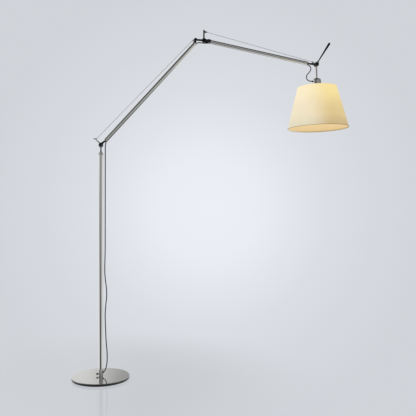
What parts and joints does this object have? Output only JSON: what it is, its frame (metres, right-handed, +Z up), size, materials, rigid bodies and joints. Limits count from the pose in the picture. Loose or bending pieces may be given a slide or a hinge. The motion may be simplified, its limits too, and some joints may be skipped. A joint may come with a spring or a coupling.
{
  "type": "adjustable arm floor lamp",
  "caption": "Floor lamp with a round weighted base, a pole, two sprung tube arms joined by a link, and a tilting tapered shade with a handle.",
  "frame": {"origin": "on the floor under the pole's axis, at the middle of the base's underside", "axes": "+Z up along the pole; +X from the pole towards the shade, in the plane of the arms; +Y to the far side of that plane"},
  "size_m": [1.8869, 0.422, 2.2546],
  "materials": {
    "pad_felt": "grippy black floor pad",
    "weight_steel": "dark turned steel",
    "base_aluminium": "fine turned, bright",
    "tube_aluminium": "polished drawn tube",
    "dome_aluminium": "polished spun dome",
    "steel": "turned steel",
    "brass": "bright brass",
    "spring_steel": "oiled spring wire",
    "cable_steel": "stranded steel cable",
    "carrier_steel": "bright wire",
    "grey_metal": "satin grey casting",
    "black_metal": "satin black",
    "black_plastic": "moulded black",
    "lampholder_plastic": "white thermoset",
    "cord_grey": "dark flexible cord",
    "shade_parchment": "parchment lit from inside",
    "bulb_white": "frosted white"
  },
  "bodies": {
    "base": {"floor_pad": "pad_felt", "base_weight": "weight_steel", "base_cover": "base_aluminium", "pole_socket": "steel", "pole_bolt": "steel", "pole_bolt_washer": "steel", "pole": "tube_aluminium", "foot_cord_gland": "black_plastic", "mains_lead_inlet": "black_plastic", "pole_end_cap": "tube_aluminium", "swivel_bush": "brass", "pole_cord_lower": "cord_grey"},
    "foot_knob": {"foot_lock_knob": "black_plastic"},
    "swivel": {"swivel_pin": "steel", "swivel_retainer": "steel", "shoulder_bracket": "grey_metal", "shoulder_hinge_pin": "steel", "shoulder_washers": "black_plastic", "pole_cord_upper": "cord_grey"},
    "shoulder_knob": {"shoulder_knob": "black_plastic"},
    "lower_arm": {"lower_arm_tube": "tube_aluminium", "lower_arm_inner_cable": "cable_steel", "lower_arm_spring": "spring_steel", "lower_arm_inner_lead": "cord_grey", "lower_arm_root_fork": "black_metal", "lower_arm_tip": "black_metal", "lower_arm_cable_lug": "grey_metal", "lower_arm_cable": "cable_steel"},
    "elbow_link": {"elbow_link": "black_metal", "elbow_lever": "black_metal", "elbow_lower_pin": "steel", "elbow_upper_pin": "steel", "elbow_cord_lower": "cord_grey", "elbow_cord_upper": "cord_grey"},
    "elbow_lower_knob": {"elbow_lower_knob": "black_plastic"},
    "elbow_upper_knob": {"elbow_upper_knob": "black_plastic"},
    "upper_arm": {"upper_arm_tube": "tube_aluminium", "upper_arm_inner_cable": "cable_steel", "upper_arm_spring": "spring_steel", "upper_arm_inner_lead": "cord_grey", "upper_arm_root_yoke": "black_metal", "upper_arm_tip": "black_metal", "upper_arm_cable_lug": "grey_metal", "upper_arm_cable": "cable_steel", "head_cord": "cord_grey"},
    "head": {"head_hub": "grey_metal", "shade_stem": "tube_aluminium", "head_handle": "black_plastic", "head_pin": "steel", "lampholder_dome": "dome_aluminium", "head_cord_grommet": "black_plastic", "threaded_nipple": "brass", "lampholder": "lampholder_plastic", "shade_carrier": "carrier_steel", "shade_ring_nut": "lampholder_plastic", "shade": "shade_parchment", "shade_rings": "carrier_steel", "bulb_base": "brass", "bulb_globe": "bulb_white"},
    "head_knob": {"head_knob": "black_plastic"}
  },
  "joints": [
    {"name": "pole_swivel", "type": "hinge", "parent": "base", "child": "swivel", "pos_m": [0, 0, 1.43], "axis": [0, 0, 1], "range_deg": [-170, 170], "deforming": ["pole_cord_lower"]},
    {"name": "shoulder_tilt", "type": "hinge", "parent": "swivel", "child": "lower_arm", "pos_m": [-0.00599, 0, 1.4733], "axis": [0, -1, 0], "range_deg": [-40, 28], "deforming": ["pole_cord_upper", "lower_arm_cable"]},
    {"name": "elbow_lower_tilt", "type": "hinge", "parent": "lower_arm", "child": "elbow_link", "pos_m": [0.61148, 0, 2.18555], "axis": [0, -1, 0], "range_deg": [-20, 20], "deforming": ["elbow_cord_lower"]},
    {"name": "elbow_upper_tilt", "type": "hinge", "parent": "elbow_link", "child": "upper_arm", "pos_m": [0.67148, 0, 2.18555], "axis": [0, -1, 0], "range_deg": [-50, 40], "deforming": ["elbow_cord_upper", "upper_arm_cable"]},
    {"name": "head_tilt", "type": "hinge", "parent": "upper_arm", "child": "head", "pos_m": [1.48369, 0, 2.08006], "axis": [0, -1, 0], "range_deg": [-40, 60], "deforming": ["head_cord"]},
    {"name": "foot_knob_turn", "type": "hinge", "parent": "base", "child": "foot_knob", "pos_m": [-0.02, 0, 0.0295], "axis": [1, 0, 0], "range_deg": [-180, 180]},
    {"name": "shoulder_knob_turn", "type": "hinge", "parent": "swivel", "child": "shoulder_knob", "pos_m": [-0.00599, 0, 1.4733], "axis": [0, 1, 0], "range_deg": [-180, 180]},
    {"name": "elbow_lower_knob_turn", "type": "hinge", "parent": "elbow_link", "child": "elbow_lower_knob", "pos_m": [0.61148, 0, 2.18555], "axis": [0, 1, 0], "range_deg": [-180, 180]},
    {"name": "elbow_upper_knob_turn", "type": "hinge", "parent": "elbow_link", "child": "elbow_upper_knob", "pos_m": [0.67148, 0, 2.18555], "axis": [0, 1, 0], "range_deg": [-180, 180]},
    {"name": "head_knob_turn", "type": "hinge", "parent": "head", "child": "head_knob", "pos_m": [1.48369, 0, 2.08006], "axis": [0, 1, 0], "range_deg": [-180, 180]}
  ]
}
